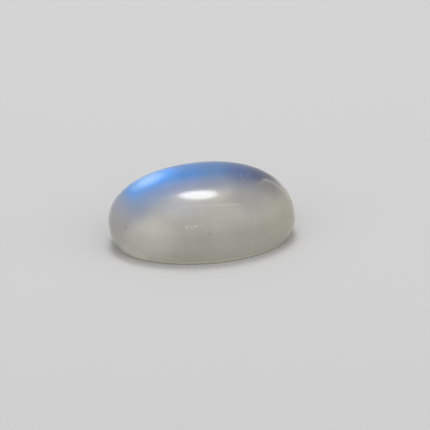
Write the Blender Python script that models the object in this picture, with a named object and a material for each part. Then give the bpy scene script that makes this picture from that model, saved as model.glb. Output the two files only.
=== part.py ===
"""A polished oval moonstone cabochon, lying on its flat base.

Run it with: blender --background --python part.py
Units are metres, with +Z up. The origin is the middle of the flat base, and the stone's length is along X.
The stone is one solid: a flat base, a side that widens up to the girdle, and a high dome above it.
"""

import math

import bmesh
import bpy
from mathutils import Vector

# Driving dimensions
LENGTH = 0.0140
WIDTH = 0.0104
HEIGHT = 0.00557

# The girdle is the stone's widest line. It was ground by hand, so one end of it is higher.
GIRDLE_HEIGHT = 0.00163
GIRDLE_DROP = 0.000245  # how far it drops from the middle of the length to the +X end

# The side below the girdle
BASE_SHARE = 0.915  # the foot of the side, as a share of the girdle's outline
SIDE_CURVE = 2.3  # 1 makes the side a straight slope, and more rounds it in near the base
EDGE_CHAMFER = 0.00006  # takes the sharp edge off the base

# The dome above the girdle: an ellipse's arc with fuller shoulders, its top off the middle
TOP_SHIFT = 0.00097
DOME_RISE = 2.2
DOME_REACH = 2.4

# How finely the curved surface is divided
AROUND = 80
SIDE_LEVELS = 6
DOME_LEVELS = 20

# The polished stone's own colour, and its gloss
MILKY_GREY = (0.40, 0.40, 0.38, 1.0)
POLISH_ROUGHNESS = 0.06
MOONSTONE_IOR = 1.52


def clear_scene():
    for item in list(bpy.data.objects):
        bpy.data.objects.remove(item, do_unlink=True)


def girdle_point(turn):
    """A point of the widest line, at this angle round the stone."""
    along = math.cos(turn)
    across = math.sin(turn)
    return Vector((LENGTH / 2 * along, WIDTH / 2 * across, GIRDLE_HEIGHT - GIRDLE_DROP * along))


def side_point(turn, climb):
    """A point between the base and the girdle. Climb is 0 at the base and 1 at the girdle."""
    girdle = girdle_point(turn)
    share = 1 - (1 - BASE_SHARE) * (1 - climb) ** SIDE_CURVE
    return Vector((girdle.x * share, girdle.y * share, girdle.z * climb))


def foot_point(turn):
    """A point of the flat base's outline, inside the foot of the side by the chamfer."""
    foot = side_point(turn, 0)
    return foot - foot.normalized() * EDGE_CHAMFER


def dome_point(turn, climb):
    """A point of the dome. Climb is 0 at the girdle and 1 at the top."""
    girdle = girdle_point(turn)
    share = (1 - climb**DOME_RISE) ** (1 / DOME_REACH)
    x = girdle.x * share + TOP_SHIFT * (1 - share)
    z = girdle.z + (HEIGHT - girdle.z) * climb
    return Vector((x, girdle.y * share, z))


def level_points(point, *climb):
    """One level of the stone: the points that this function gives, all the way round."""
    return [point(2 * math.pi * step / AROUND, *climb) for step in range(AROUND)]


def stone_levels():
    """The levels from the base to just under the top."""
    levels = [level_points(foot_point)]
    first_climb = EDGE_CHAMFER / GIRDLE_HEIGHT
    for step in range(SIDE_LEVELS + 1):
        climb = first_climb + (1 - first_climb) * step / SIDE_LEVELS
        levels.append(level_points(side_point, climb))
    for step in range(1, DOME_LEVELS):
        levels.append(level_points(dome_point, math.sin(math.pi / 2 * step / DOME_LEVELS)))
    return levels


def add_loop(shape, points):
    """Adds a closed loop of edges through these points."""
    corners = [shape.verts.new(point) for point in points]
    return [shape.edges.new((corners[i - 1], corners[i])) for i in range(len(corners))]


def stone_mesh():
    shape = bmesh.new()
    loops = [add_loop(shape, points) for points in stone_levels()]
    for lower, upper in zip(loops, loops[1:]):
        bmesh.ops.bridge_loops(shape, edges=lower + upper)
    bmesh.ops.edgeloop_fill(shape, edges=loops[0])
    cap = bmesh.ops.edgeloop_fill(shape, edges=loops[-1])["faces"]
    top = bmesh.ops.poke(shape, faces=cap)["verts"][0]
    top.co = Vector((TOP_SHIFT, 0, HEIGHT))
    bmesh.ops.recalc_face_normals(shape, faces=shape.faces)
    mesh = bpy.data.meshes.new("moonstone")
    shape.to_mesh(mesh)
    shape.free()
    mesh.shade_smooth()
    mesh.set_sharp_from_angle(angle=math.radians(30))
    return mesh


def moonstone_material():
    material = bpy.data.materials.new("moonstone")
    material.use_nodes = True
    shader = material.node_tree.nodes["Principled BSDF"]
    shader.inputs["Base Color"].default_value = MILKY_GREY
    shader.inputs["Metallic"].default_value = 0
    shader.inputs["Roughness"].default_value = POLISH_ROUGHNESS
    shader.inputs["IOR"].default_value = MOONSTONE_IOR
    return material


def main():
    clear_scene()
    stone = bpy.data.objects.new("moonstone", stone_mesh())
    stone.data.materials.append(moonstone_material())
    bpy.context.scene.collection.objects.link(stone)


main()
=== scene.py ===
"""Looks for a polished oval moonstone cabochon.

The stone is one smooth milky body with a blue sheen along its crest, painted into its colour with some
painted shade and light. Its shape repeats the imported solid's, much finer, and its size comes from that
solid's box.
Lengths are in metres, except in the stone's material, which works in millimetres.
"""

import math

import bmesh
import bpy
from mathutils import Matrix, Vector, noise


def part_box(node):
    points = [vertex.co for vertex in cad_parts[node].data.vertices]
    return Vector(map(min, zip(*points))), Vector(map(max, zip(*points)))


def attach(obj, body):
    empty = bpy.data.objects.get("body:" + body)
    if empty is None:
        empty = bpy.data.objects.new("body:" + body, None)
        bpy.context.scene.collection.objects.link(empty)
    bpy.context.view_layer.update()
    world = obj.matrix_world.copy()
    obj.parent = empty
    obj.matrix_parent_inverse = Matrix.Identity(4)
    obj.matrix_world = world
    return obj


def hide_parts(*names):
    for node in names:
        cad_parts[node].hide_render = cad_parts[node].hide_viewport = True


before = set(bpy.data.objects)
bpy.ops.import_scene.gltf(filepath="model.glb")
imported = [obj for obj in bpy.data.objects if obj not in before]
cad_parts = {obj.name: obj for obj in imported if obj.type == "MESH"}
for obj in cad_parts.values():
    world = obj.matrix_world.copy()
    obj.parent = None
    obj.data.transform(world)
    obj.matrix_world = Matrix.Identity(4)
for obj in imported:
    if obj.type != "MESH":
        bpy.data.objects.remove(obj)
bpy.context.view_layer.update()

FAR_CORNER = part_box("moonstone")[1]

# The stone's shape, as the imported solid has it
HALF_LENGTH = FAR_CORNER.x
HALF_WIDTH = FAR_CORNER.y
HEIGHT = FAR_CORNER.z
GIRDLE_HEIGHT = 0.00163
GIRDLE_DROP = 0.000245
BASE_SHARE = 0.915
SIDE_CURVE = 2.3
EDGE_CHAMFER = 0.00006
TOP_SHIFT = 0.00097
DOME_RISE = 2.2
DOME_REACH = 2.4

# How finely the visible surface is divided
AROUND = 320
SIDE_LEVELS = 20
DOME_LEVELS = 120

# Hand polishing leaves the dome faintly uneven
WAVE_DEPTH = 0.000003
WAVES_PER_METRE = 450

# The photograph's camera. Its picture is 430 pixels square. The middle of the stone's base is at BASE_PIXEL
# in it, and PIXELS_PER_METRE is the scale there.
PICTURE_SIZE = 430
PIXELS_PER_METRE = 13336
BASE_PIXEL = (202.54, 239.23)
CAMERA_AZIMUTH = -7.64
CAMERA_ELEVATION = 22.58
CAMERA_ROLL = 2.0
CAMERA_DISTANCE = 0.35
SENSOR_WIDTH = 36
CLIP_START = 0.01
CLIP_END = 10

# The floor
FLOOR_REACH = 1.5
FLOOR_COLOUR = (0.5, 0.5, 0.5, 1)
FLOOR_ROUGHNESS = 0.7

# The lights over the stone. Their centres and sizes are shares of the softbox's height, and the drop and the
# spacing are metres. Each light is made of ovals, one above another, so that its rim fades, and OVALS gives
# their shares of its size.
LIGHT_HEIGHT = 0.30
SOFTBOX_CENTRE = (0.02, 0.23)
SOFTBOX_SIZE = (0.31, 0.46)
SOFTBOX_TURN = 27
SOFTBOX_RADIANCE = 9.3
SOFTBOX_OVALS = (1.13, 1.04, 0.96, 0.87)
GLOW_CENTRE = (0.04, 0.18)
GLOW_SIZE = (0.52, 0.72)
GLOW_RADIANCE = 2.0
GLOW_OVALS = (1.25, 1.0, 0.75)
GLOW_DROP = 0.01
OVAL_SPACING = 0.001

# The room, and the bright panel in front of the stone. The panel's edge is given as a slope, and it fades
# this far each way.
ROOM_RADIANCE = 0.55
PANEL_RADIANCE = 1.25
PANEL_EDGE = -0.31
PANEL_FADE = 0.05

# The polish, and how far light scatters inside the stone
ROUGHNESS = 0.09
ROUGHNESS_CHANGE = 0.02
BASE_ROUGHNESS = 0.4
MOONSTONE_IOR = 1.52
SCATTER_WEIGHT = 1.0
SCATTER_BY_COLOUR = (1.0, 1.0, 1.0)
SCATTER_LENGTH = 0.002

# Millimetres in a metre, along each axis
MILLIMETRES = (1000, 1000, 1000)

# The stone's colours
BODY = (0.365, 0.355, 0.32, 1)
PALE = (0.475, 0.46, 0.42, 1)
WARM = (0.362, 0.345, 0.288, 1)
# Painted light at the foot and its thin edge: paler colours that lift the floor's contact shade and stand in
# for light glowing through the thin rim
LIT_FOOT = (0.43, 0.412, 0.352, 1)
LIT_PALE_FOOT = (0.62, 0.60, 0.51, 1)
LIT_THIN_EDGE = (0.76, 0.71, 0.58, 1)
# Painted shade: a darker patch on the right of the front slope
DIM_SHADE = (0.285, 0.275, 0.26, 1)
# Painted sheen: a faint cool mist, the outer edge of the sheen's haze in front of the crest
SHEEN_MIST = (0.385, 0.38, 0.385, 1)
# Painted shade round the crack's high point
SHADE = (0.19, 0.183, 0.185, 1)
# The painted sheen's blue core and its brightest, whitish glow
BLUE_CORE = (0.09, 0.34, 0.85, 1)
WHITE_CORE = (0.31, 0.54, 0.87, 1)
# Painted reflection: the colour of a pale line in place of a reflected bright edge
PAINTED_REFLECTION = (0.50, 0.495, 0.475, 1)
# The crack's pale line, partly painted light: it stands in for the far rim of the base seen through the
# stone
CRACK_AND_SEEN_RIM = (0.335, 0.318, 0.295, 1)
SPECK = (0.53, 0.52, 0.50, 1)
BROWN = (0.25, 0.22, 0.19, 1)
VIOLET = (0.24, 0.22, 0.30, 1)
DEEP_BLUE = (0.05, 0.15, 0.40, 1)
WISP = (0.24, 0.27, 0.36, 1)
# The colours of the painted sheen and of the painted haze round it, at these places along the stone. Both
# also hold painted shade: darker where the crest is thin, as if a dark backdrop showed through it.
SHEEN = (
    (-6.3, (0.16, 0.24, 0.40, 1)),
    (-5.0, (0.09, 0.27, 0.62, 1)),
    (-2.8, (0.085, 0.25, 0.58, 1)),
    (-1.0, (0.055, 0.205, 0.51, 1)),
    (1.0, (0.06, 0.17, 0.375, 1)),
    (3.0, (0.045, 0.09, 0.23, 1)),
    (4.3, (0.055, 0.07, 0.145, 1)),
    (5.2, (0.09, 0.088, 0.105, 1)),
    (6.2, (0.25, 0.24, 0.22, 1)),
)
SHEEN_HAZE = (
    (-6.5, (0.265, 0.285, 0.35, 1)),
    (-4.5, (0.20, 0.265, 0.41, 1)),
    (-1.0, (0.22, 0.262, 0.385, 1)),
    (1.0, (0.20, 0.23, 0.32, 1)),
    (3.0, (0.13, 0.15, 0.22, 1)),
    (4.6, (0.18, 0.18, 0.20, 1)),
    (6.0, (0.26, 0.245, 0.22, 1)),
)

# The zones of those colours: the middle, the reach each way, the share of the reach that has the whole
# colour, the turn in degrees, and half the length of a straight run
LEFT_WEDGE_ZONE = ((-5.0, -3.9, 2.0), (4.2, 2.2, 2.3), 0.25)
LEFT_END_ZONE = ((-5.6, -2.9, 0.6), (2.2, 2.0, 1.2), 0.3)
BACK_WEDGE_ZONE = ((3.4, 4.2, 2.2), (3.4, 2.2, 2.4), 0.2)
WARM_ZONE = ((6.6, -1.5, 1.8), (6.5, 5.5, 3.6), 0.3)
# Where the painted shade lies
DIM_SHADE_ZONE = ((3.1, -3.4, 4.2), (2.4, 1.5, 1.9), 0.2)
# Where the painted sheen's mist, haze, shade, sheen and cores lie
SHEEN_MIST_ZONE = ((-2.2, -3.8, 4.2), (3.4, 1.1, 1.1), 0.2)
SHEEN_HAZE_ZONE = ((-0.7, 0.55, 5.57), (3.1, 4.5, 6.5), 0.5, 4, 4.2)
SHADE_ZONE = ((4.95, -1.35, 4.6), (2.2, 2.0, 2.2))
SHEEN_ZONE = ((-0.1, 0.55, 5.57), (1.7, 2.75, 6.5), 0.3, 1.5, 4.9)
SHEEN_END_ZONE = ((4.0, -0.6, 4.9), (1.6, 1.5, 1.5), 0.15)
BLUE_CORE_ZONE = ((-3.2, 0.75, 5.0), (2.4, 1.8, 3.0), 0.35, 20)
WHITE_CORE_ZONE = ((-3.85, 0.45, 5.0), (1.9, 1.35, 3.0), 0.1, 33)
# How much of their colours the wedge at the back and the zone of painted shade take
BACK_WEDGE_SHARE = 0.6
DIM_SHADE_SHARE = 0.85
# Noise of this many grains a millimetre moves the zones' edges, over these distances along each axis
DRIFT_GRAINS = 0.35
DRIFT_DETAIL = 2.0
DRIFT = (0.5, 0.4, 0.3)

# Heights over the base between which painted light makes the foot of the stone paler. The ground finish
# starts at the lowest of them.
FOOT_TOP, FOOT_BOTTOM = 0.95, 0.35
THIN_EDGE_TOP, THIN_EDGE_BOTTOM = 0.40, 0.08

# A healed crack at the +X end: three upright faces that meet in soft bends. Each has its slope across the
# stone and a point that it passes. The sheen is only behind it, and ends within CRACK_EDGE of it.
# The crack's pale line is partly painted light, standing in for the far rim of the base seen through the
# stone
CRACK_FACES = ((0.3, (3.59, -1.96)), (1.1, (4.27, -1.46)), (-0.22, (5.54, -0.95)))
CRACK_BENDS = (0.2, 0.4)
CRACK_EDGE = 0.1
CRACK_LINE = 0.26
CRACK_SHARE = 0.7
CRACK_ZONE = ((5.5, -1.0, 4.1), (1.7, 1.0, 1.8), 0.45)

# A painted reflection: a pale line, bent like a shell of this radius, in place of the reflection of a bright
# edge of the front panel. In the photograph's view it meets the surface just below the softbox's reflection.
PAINTED_REFLECTION_CENTRE = (-0.5, -4.0, -14.81)
PAINTED_REFLECTION_RADIUS = 19.2
PAINTED_REFLECTION_LINE = 0.10
PAINTED_REFLECTION_SHARE = 0.33
PAINTED_REFLECTION_ZONE = ((0.1, -4.0, 4.35), (3.1, 1.2, 1.0), 0.5)

# Cloudiness, and faint streaks like those of thin lamellae and layers: the grains a millimetre each way, the
# change in brightness and the noise's detail
CLOUDS = ((0.5, 0.5, 0.5), 0.03, 3.0)
LAMELLAE = ((2.8, 0.25, 0.25), 0.018, 2.0)
LAYERS = ((0.2, 0.2, 3.5), 0.015, 2.0)
# The polish varies in grains of this size
GLOSS_GRAINS = (0.8, 0.8, 0.8)
GLOSS_DETAIL = 3.0

# The noise's own values: how rough it is, its middle, and the limits that most of it lies between
NOISE_ROUGHNESS = 0.5
NOISE_MIDDLE = (0.5, 0.5, 0.5)
NOISE_LOW, NOISE_HIGH = 0.3, 0.7

# Small marks: ovals of colour that show where they meet the surface. Each has its middle, its reach each
# way, its turn in degrees, its colour and that colour's share.
MARKS = (
    ((-1.75, -4.78, 3.09), (0.20, 0.15, 0.13), 0, SPECK, 0.9),
    ((-1.46, -4.84, 3.08), (0.17, 0.15, 0.11), 0, SPECK, 0.6),
    ((-1.13, -4.86, 3.14), (0.20, 0.15, 0.12), 0, SPECK, 0.9),
    ((-0.75, -4.87, 3.21), (0.22, 0.15, 0.12), 0, SPECK, 0.3),
    ((-0.11, -5.12, 2.52), (0.32, 0.20, 0.22), 0, BROWN, 0.32),
    ((-0.42, -5.14, 2.36), (0.16, 0.20, 0.26), 0, BROWN, 0.2),
    ((-6.05, -2.48, 2.57), (0.20, 0.20, 0.18), 0, VIOLET, 0.7),
    ((-4.89, 0.12, 4.62), (0.10, 0.25, 0.20), 0, DEEP_BLUE, 0.35),
    ((-5.64, -0.88, 4.12), (0.10, 0.20, 0.15), 0, VIOLET, 0.5),
    ((2.88, -1.10, 5.36), (0.11, 0.50, 0.60), -10, WISP, 0.4),
    ((2.98, -1.75, 5.20), (0.13, 0.45, 0.60), 20, WISP, 0.35),
    ((2.60, -0.15, 5.49), (0.10, 0.60, 0.60), 15, WISP, 0.2),
    ((-6.42, -1.95, 1.65), (0.14, 0.16, 0.75), 0, SPECK, 0.35),
)


def girdle_point(turn):
    """A point of the widest line, at this angle round the stone."""
    along = math.cos(turn)
    across = math.sin(turn)
    return Vector((HALF_LENGTH * along, HALF_WIDTH * across, GIRDLE_HEIGHT - GIRDLE_DROP * along))


def side_point(turn, climb):
    """A point between the base and the girdle. Climb is 0 at the base and 1 at the girdle."""
    girdle = girdle_point(turn)
    share = 1 - (1 - BASE_SHARE) * (1 - climb) ** SIDE_CURVE
    return Vector((girdle.x * share, girdle.y * share, girdle.z * climb))


def foot_point(turn, inset):
    """A point of the flat base, this far inside the foot of the side."""
    foot = side_point(turn, 0)
    return foot - foot.normalized() * inset


def dome_point(turn, climb):
    """A point of the dome, with its faint waves. Climb is 0 at the girdle and 1 at the top."""
    girdle = girdle_point(turn)
    share = (1 - climb**DOME_RISE) ** (1 / DOME_REACH)
    x = girdle.x * share + TOP_SHIFT * (1 - share)
    z = girdle.z + (HEIGHT - girdle.z) * climb
    point = Vector((x, girdle.y * share, z))
    wave = (1 + noise.noise(point * WAVES_PER_METRE)) / 2
    return point - point.normalized() * (WAVE_DEPTH * climb * wave)


def level_points(point, amount):
    """One level of the stone: the points that this function gives, all the way round."""
    return [point(2 * math.pi * step / AROUND, amount) for step in range(AROUND)]


def stone_levels():
    """The levels from the base to just under the top."""
    levels = [level_points(foot_point, 2 * EDGE_CHAMFER), level_points(foot_point, EDGE_CHAMFER)]
    first_climb = EDGE_CHAMFER / GIRDLE_HEIGHT
    for step in range(SIDE_LEVELS + 1):
        climb = first_climb + (1 - first_climb) * step / SIDE_LEVELS
        levels.append(level_points(side_point, climb))
    for step in range(1, DOME_LEVELS):
        levels.append(level_points(dome_point, math.sin(math.pi / 2 * step / DOME_LEVELS)))
    return levels


def add_loop(shape, points):
    """Adds a closed loop of edges through these points."""
    corners = [shape.verts.new(point) for point in points]
    return [shape.edges.new((corners[i - 1], corners[i])) for i in range(len(corners))]


def make_stone():
    shape = bmesh.new()
    loops = [add_loop(shape, points) for points in stone_levels()]
    for lower, upper in zip(loops, loops[1:]):
        bmesh.ops.bridge_loops(shape, edges=lower + upper)
    bmesh.ops.edgeloop_fill(shape, edges=loops[0])
    cap = bmesh.ops.edgeloop_fill(shape, edges=loops[-1])["faces"]
    top = bmesh.ops.poke(shape, faces=cap)["verts"][0]
    top.co = dome_point(0, 1)
    bmesh.ops.recalc_face_normals(shape, faces=shape.faces)
    mesh = bpy.data.meshes.new("polished_stone")
    shape.to_mesh(mesh)
    shape.free()
    mesh.shade_smooth()
    stone = bpy.data.objects.new("polished_stone", mesh)
    bpy.context.scene.collection.objects.link(stone)
    return stone


def add_node(tree, kind, inputs, **settings):
    """Adds a node. Each input is a value, or the socket that feeds it."""
    node = tree.nodes.new(kind)
    for name, value in settings.items():
        setattr(node, name, value)
    for name, value in inputs.items():
        if isinstance(value, bpy.types.NodeSocket):
            tree.links.new(value, node.inputs[name])
        else:
            node.inputs[name].default_value = value
    return node


def vector_math(tree, operation, first, second):
    return add_node(tree, "ShaderNodeVectorMath", {0: first, 1: second}, operation=operation).outputs[0]


def math_node(tree, operation, *values):
    return add_node(tree, "ShaderNodeMath", dict(enumerate(values)), operation=operation).outputs[0]


def vector_length(tree, vector):
    return add_node(tree, "ShaderNodeVectorMath", {0: vector}, operation="LENGTH").outputs["Value"]


def separate(tree, place):
    """The three coordinates of a place."""
    return add_node(tree, "ShaderNodeSeparateXYZ", {0: place}).outputs


def fade(tree, value, start, end, low=0.0, high=1.0):
    """Turns a value at start into low and one at end into high, with a smooth change between."""
    limits = {"Value": value, "From Min": start, "From Max": end, "To Min": low, "To Max": high}
    return add_node(tree, "ShaderNodeMapRange", limits, interpolation_type="SMOOTHSTEP").outputs["Result"]


def mix_value(tree, share, first, second):
    """The first number where share is 0, and the second where it is 1."""
    return add_node(tree, "ShaderNodeMix", {0: share, 2: first, 3: second}).outputs[0]


def mix_colour(tree, share, first, second):
    """The first colour where share is 0, and the second where it is 1."""
    return add_node(tree, "ShaderNodeMix", {0: share, 6: first, 7: second}, data_type="RGBA").outputs[2]


def zone(tree, place, centre, reach, inner=0.0, turn=0.0, run=0.0):
    """A soft oval zone, 1 at its middle and 0 past its reach. A run draws its middle out into a line."""
    placing = {"Vector": place, "Location": centre, "Rotation": (0, 0, math.radians(turn))}
    local = add_node(tree, "ShaderNodeMapping", placing, vector_type="TEXTURE").outputs[0]
    if run:
        beyond = vector_math(tree, "SUBTRACT", vector_math(tree, "ABSOLUTE", local, (0, 0, 0)), (run, 0, 0))
        local = vector_math(tree, "MAXIMUM", beyond, (0, 0, 0))
    return fade(tree, vector_length(tree, vector_math(tree, "DIVIDE", local, reach)), 1.0, inner)


def noise_value(tree, place, grains, detail):
    """Cloudy noise from 0 to 1, with this many grains a millimetre along each axis."""
    stretched = vector_math(tree, "MULTIPLY", place, grains)
    inputs = {"Vector": stretched, "Scale": 1.0, "Detail": detail, "Roughness": NOISE_ROUGHNESS}
    return add_node(tree, "ShaderNodeTexNoise", inputs).outputs["Fac"]


def texture_factor(tree, place, grains, change, detail):
    """A brightness that varies by this much either way."""
    grain = noise_value(tree, place, grains, detail)
    return fade(tree, grain, NOISE_LOW, NOISE_HIGH, 1 - change, 1 + change)


def colour_along(tree, place, colours):
    """A colour that changes along the stone, through these colours."""
    first, last = colours[0][0], colours[-1][0]
    limits = {"Value": separate(tree, place)["X"], "From Min": first, "From Max": last}
    share = add_node(tree, "ShaderNodeMapRange", limits).outputs[0]
    ramp = add_node(tree, "ShaderNodeValToRGB", {"Fac": share})
    stops = ramp.color_ramp.elements
    while len(stops) < len(colours):
        stops.new(1.0)
    for stop, (x, colour) in zip(stops, colours):
        stop.position = (x - first) / (last - first)
        stop.color = colour
    ramp.color_ramp.interpolation = "EASE"
    return ramp.outputs["Color"]


def drifted_place(tree, place):
    """The place, moved a little by noise, so that the zones' edges aren't perfect ovals."""
    inputs = {"Vector": place, "Scale": DRIFT_GRAINS, "Detail": DRIFT_DETAIL}
    drift = add_node(tree, "ShaderNodeTexNoise", inputs).outputs["Color"]
    drift = vector_math(tree, "SUBTRACT", drift, NOISE_MIDDLE)
    return vector_math(tree, "ADD", place, vector_math(tree, "MULTIPLY", drift, DRIFT))


def behind_crack(tree, place):
    """How far a place lies behind the healed crack, measured along Y."""
    parts = separate(tree, place)
    first, second, third = [
        math_node(tree, "MULTIPLY_ADD", parts["X"], slope, y - slope * x) for slope, (x, y) in CRACK_FACES
    ]
    bent = math_node(tree, "SMOOTH_MAX", first, second, CRACK_BENDS[0])
    bent = math_node(tree, "SMOOTH_MIN", bent, third, CRACK_BENDS[1])
    return math_node(tree, "SUBTRACT", parts["Y"], bent)


def milky_body(tree, place, height):
    """The stone without its painted sheen: warm milky grey, with paler parts, a patch of painted shade, the
    sheen's faint mist and painted light at the foot.
    """
    wedge = math_node(
        tree, "MAXIMUM", zone(tree, place, *LEFT_WEDGE_ZONE), zone(tree, place, *LEFT_END_ZONE)
    )
    colour = mix_colour(tree, wedge, BODY, PALE)
    back_wedge = zone(tree, place, *BACK_WEDGE_ZONE)
    colour = mix_colour(tree, math_node(tree, "MULTIPLY", back_wedge, BACK_WEDGE_SHARE), colour, PALE)
    colour = mix_colour(tree, zone(tree, place, *WARM_ZONE), colour, WARM)
    # Painted shade on the right of the front slope
    dim_shade = math_node(tree, "MULTIPLY", zone(tree, place, *DIM_SHADE_ZONE), DIM_SHADE_SHARE)
    colour = mix_colour(tree, dim_shade, colour, DIM_SHADE)
    colour = mix_colour(tree, zone(tree, place, *SHEEN_MIST_ZONE), colour, SHEEN_MIST)
    # Painted light, paler towards the foot and along its thin edge
    foot = mix_colour(tree, wedge, LIT_FOOT, LIT_PALE_FOOT)
    colour = mix_colour(tree, fade(tree, height, FOOT_TOP, FOOT_BOTTOM), colour, foot)
    return mix_colour(tree, fade(tree, height, THIN_EDGE_TOP, THIN_EDGE_BOTTOM), colour, LIT_THIN_EDGE)


def blue_sheen(tree, place, colour, behind):
    """Adds the painted sheen: its haze, the painted shade round the crack, the sheen that ends at the crack,
    and its bright core.
    """
    colour = mix_colour(tree, zone(tree, place, *SHEEN_HAZE_ZONE), colour, colour_along(tree, place, SHEEN_HAZE))
    colour = mix_colour(tree, zone(tree, place, *SHADE_ZONE), colour, SHADE)
    kept = fade(tree, behind, -CRACK_EDGE, CRACK_EDGE)
    sheen = math_node(tree, "MAXIMUM", zone(tree, place, *SHEEN_ZONE), zone(tree, place, *SHEEN_END_ZONE))
    sheen = math_node(tree, "MULTIPLY", sheen, kept)
    colour = mix_colour(tree, sheen, colour, colour_along(tree, place, SHEEN))
    colour = mix_colour(tree, zone(tree, place, *BLUE_CORE_ZONE), colour, BLUE_CORE)
    return mix_colour(tree, zone(tree, place, *WHITE_CORE_ZONE), colour, WHITE_CORE)


def thin_line(tree, distance, width, share, near):
    """Where a thin sheet shows as a line: strongest at distance 0, and kept to where near is above 0."""
    line = fade(tree, math_node(tree, "ABSOLUTE", distance), width, 0.0)
    line = math_node(tree, "MULTIPLY", line, near)
    return math_node(tree, "MULTIPLY", line, share)


def inner_marks(tree, place, colour, behind):
    """Adds the crack's pale edge, partly painted light, the painted reflection line, specks, small crystals
    and wisps.
    """
    # The crack's pale line, partly painted light for the base's far rim seen through the stone
    crack = thin_line(tree, behind, CRACK_LINE, CRACK_SHARE, zone(tree, place, *CRACK_ZONE))
    colour = mix_colour(tree, crack, colour, CRACK_AND_SEEN_RIM)
    # A painted reflection: a pale line where a shell meets the surface
    from_centre = vector_length(tree, vector_math(tree, "SUBTRACT", place, PAINTED_REFLECTION_CENTRE))
    from_shell = math_node(tree, "SUBTRACT", from_centre, PAINTED_REFLECTION_RADIUS)
    painted_reflection = thin_line(tree, from_shell, PAINTED_REFLECTION_LINE, PAINTED_REFLECTION_SHARE, zone(tree, place, *PAINTED_REFLECTION_ZONE))
    colour = mix_colour(tree, painted_reflection, colour, PAINTED_REFLECTION)
    for centre, reach, turn, tint, share in MARKS:
        mark = zone(tree, place, centre, reach, turn=turn)
        colour = mix_colour(tree, math_node(tree, "MULTIPLY", mark, share), colour, tint)
    return colour


def stone_colour(tree, place, height):
    """The body, its painted sheen and the fine texture over both, then the marks and painted lines, which
    don't drift.
    """
    drifted = drifted_place(tree, place)
    behind = behind_crack(tree, place)
    colour = milky_body(tree, drifted, height)
    colour = blue_sheen(tree, drifted, colour, behind)
    for texture in (CLOUDS, LAMELLAE, LAYERS):
        colour = vector_math(tree, "MULTIPLY", colour, texture_factor(tree, place, *texture))
    return inner_marks(tree, place, colour, behind)


def stone_roughness(tree, place, height):
    """A polish that varies a little, and a duller ground finish at the base."""
    grain = noise_value(tree, place, GLOSS_GRAINS, GLOSS_DETAIL)
    smooth, dull = ROUGHNESS - ROUGHNESS_CHANGE, ROUGHNESS + ROUGHNESS_CHANGE
    polish = fade(tree, grain, NOISE_LOW, NOISE_HIGH, smooth, dull)
    ground = fade(tree, height, THIN_EDGE_BOTTOM, 0.0)
    return mix_value(tree, ground, polish, BASE_ROUGHNESS)


def stone_material():
    material = bpy.data.materials.new("moonstone")
    material.use_nodes = True
    tree = material.node_tree
    shader = tree.nodes["Principled BSDF"]
    metres = tree.nodes.new("ShaderNodeTexCoord").outputs["Object"]
    place = vector_math(tree, "MULTIPLY", metres, MILLIMETRES)
    height = separate(tree, place)["Z"]
    tree.links.new(stone_colour(tree, place, height), shader.inputs["Base Color"])
    tree.links.new(stone_roughness(tree, place, height), shader.inputs["Roughness"])
    shader.inputs["IOR"].default_value = MOONSTONE_IOR
    shader.inputs["Subsurface Weight"].default_value = SCATTER_WEIGHT
    shader.inputs["Subsurface Radius"].default_value = SCATTER_BY_COLOUR
    shader.inputs["Subsurface Scale"].default_value = SCATTER_LENGTH
    return material


def make_floor():
    mesh = bpy.data.meshes.new("floor")
    shape = bmesh.new()
    bmesh.ops.create_grid(shape, x_segments=1, y_segments=1, size=FLOOR_REACH)
    shape.to_mesh(mesh)
    shape.free()
    floor = bpy.data.objects.new("floor", mesh)
    bpy.context.scene.collection.objects.link(floor)
    material = bpy.data.materials.new("floor")
    material.use_nodes = True
    shader = material.node_tree.nodes["Principled BSDF"]
    shader.inputs["Base Color"].default_value = FLOOR_COLOUR
    shader.inputs["Roughness"].default_value = FLOOR_ROUGHNESS
    mesh.materials.append(material)


def oval_light(name, centre, size, radiance, height):
    """A flat oval light facing down. Its centre and size are shares of the softbox's height."""
    data = bpy.data.lights.new(name, "AREA")
    data.shape = "ELLIPSE"
    data.size = size[0] * LIGHT_HEIGHT
    data.size_y = size[1] * LIGHT_HEIGHT
    area = math.pi / 4 * data.size * data.size_y
    data.energy = radiance * math.pi * area
    light = bpy.data.objects.new(name, data)
    light.location = (centre[0] * LIGHT_HEIGHT, centre[1] * LIGHT_HEIGHT, height)
    light.rotation_euler.z = math.radians(SOFTBOX_TURN)
    bpy.context.scene.collection.objects.link(light)


def soft_oval(name, centre, size, radiance, shares, height):
    """An oval light whose rim fades: ovals of these shares of its size, one above another."""
    for step, share in enumerate(shares):
        rim = (size[0] * share, size[1] * share)
        oval_light(f"{name}_{step}", centre, rim, radiance / len(shares), height + OVAL_SPACING * step)


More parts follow.
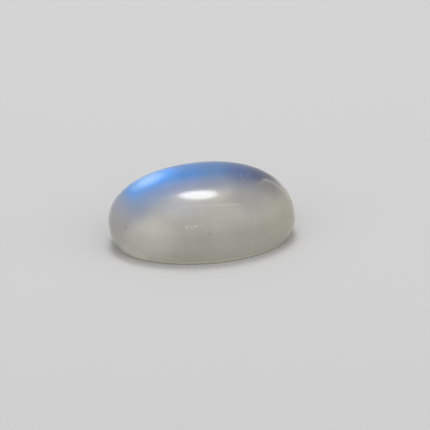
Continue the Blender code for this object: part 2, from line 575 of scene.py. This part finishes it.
def make_lights():
    """A softbox behind the crest, with a glow round it."""
    soft_oval("softbox", SOFTBOX_CENTRE, SOFTBOX_SIZE, SOFTBOX_RADIANCE, SOFTBOX_OVALS, LIGHT_HEIGHT)
    soft_oval("glow", GLOW_CENTRE, GLOW_SIZE, GLOW_RADIANCE, GLOW_OVALS, LIGHT_HEIGHT - GLOW_DROP)


def make_world():
    """A pale room. In front of the stone it is a broad bright panel with a straight upper edge."""
    world = bpy.data.worlds.new("studio")
    world.use_nodes = True
    tree = world.node_tree
    direction = tree.nodes.new("ShaderNodeTexCoord").outputs["Generated"]
    sides = {0: direction, 1: (0, 1, -PANEL_EDGE)}
    side = add_node(tree, "ShaderNodeVectorMath", sides, operation="DOT_PRODUCT").outputs["Value"]
    light = fade(tree, side, PANEL_FADE, -PANEL_FADE, ROOM_RADIANCE, PANEL_RADIANCE)
    tree.links.new(light, tree.nodes["Background"].inputs["Color"])
    bpy.context.scene.world = world


def make_camera():
    data = bpy.data.cameras.new("camera")
    data.sensor_width = SENSOR_WIDTH
    data.lens = PIXELS_PER_METRE * CAMERA_DISTANCE * SENSOR_WIDTH / PICTURE_SIZE
    data.clip_start = CLIP_START
    data.clip_end = CLIP_END
    azimuth = math.radians(CAMERA_AZIMUTH)
    elevation = math.radians(CAMERA_ELEVATION)
    roll = Matrix.Rotation(-math.radians(CAMERA_ROLL), 3, "Z")
    turned = Matrix.Rotation(azimuth, 3, "Z") @ Matrix.Rotation(math.pi / 2 - elevation, 3, "X") @ roll
    right, up, back = turned.col
    middle = PICTURE_SIZE / 2
    aside = (middle - BASE_PIXEL[0]) / PIXELS_PER_METRE
    above = (BASE_PIXEL[1] - middle) / PIXELS_PER_METRE
    place = back * CAMERA_DISTANCE + right * aside + up * above
    camera = bpy.data.objects.new("camera", data)
    camera.matrix_world = Matrix.Translation(place) @ turned.to_4x4()
    bpy.context.scene.collection.objects.link(camera)
    bpy.context.scene.camera = camera


stone = make_stone()
stone.data.materials.append(stone_material())
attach(stone, "root")
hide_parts("moonstone")
make_floor()
make_lights()
make_world()
make_camera()
bpy.context.scene.view_settings.view_transform = "Standard"
